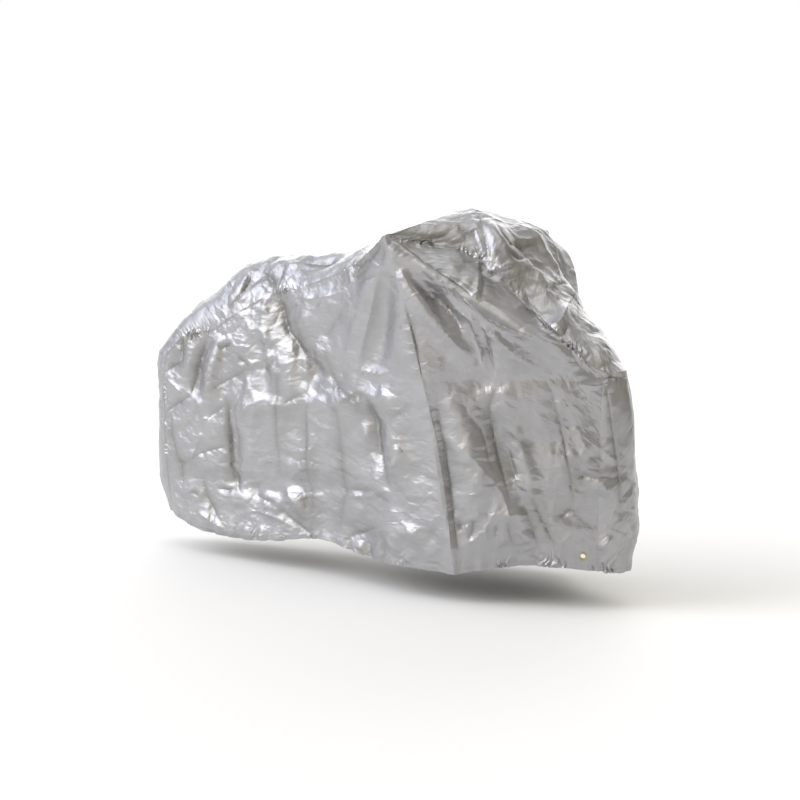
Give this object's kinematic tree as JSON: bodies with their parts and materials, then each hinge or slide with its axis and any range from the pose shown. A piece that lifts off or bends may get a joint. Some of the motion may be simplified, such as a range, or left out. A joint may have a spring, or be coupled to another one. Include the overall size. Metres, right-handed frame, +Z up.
{
  "type": "bicycle cover",
  "caption": "Draped silver cloth cover for a bicycle, sewn from two side panels and a top panel, with lock eyelets near the front hem.",
  "frame": {"origin": "under the cloth of the high peak, where the handlebar of the covered bicycle carries it", "axes": "+X along the bicycle towards its front, +Y to its left, +Z up"},
  "size_m": [1.7087, 0.6071, 1.0111],
  "materials": {
    "silver_cloth": "metallic coated, crinkled",
    "doubled_cloth": "metallic coated, doubled and stitched",
    "eyelet_brass": "polished, slightly tarnished"
  },
  "bodies": {
    "root": {"side_panel_right": "silver_cloth", "side_panel_left": "silver_cloth", "top_panel": "silver_cloth", "eyelet_strip_right": "doubled_cloth", "eyelet_strip_left": "doubled_cloth", "eyelet_right": "eyelet_brass", "eyelet_left": "eyelet_brass"}
  },
  "joints": []
}
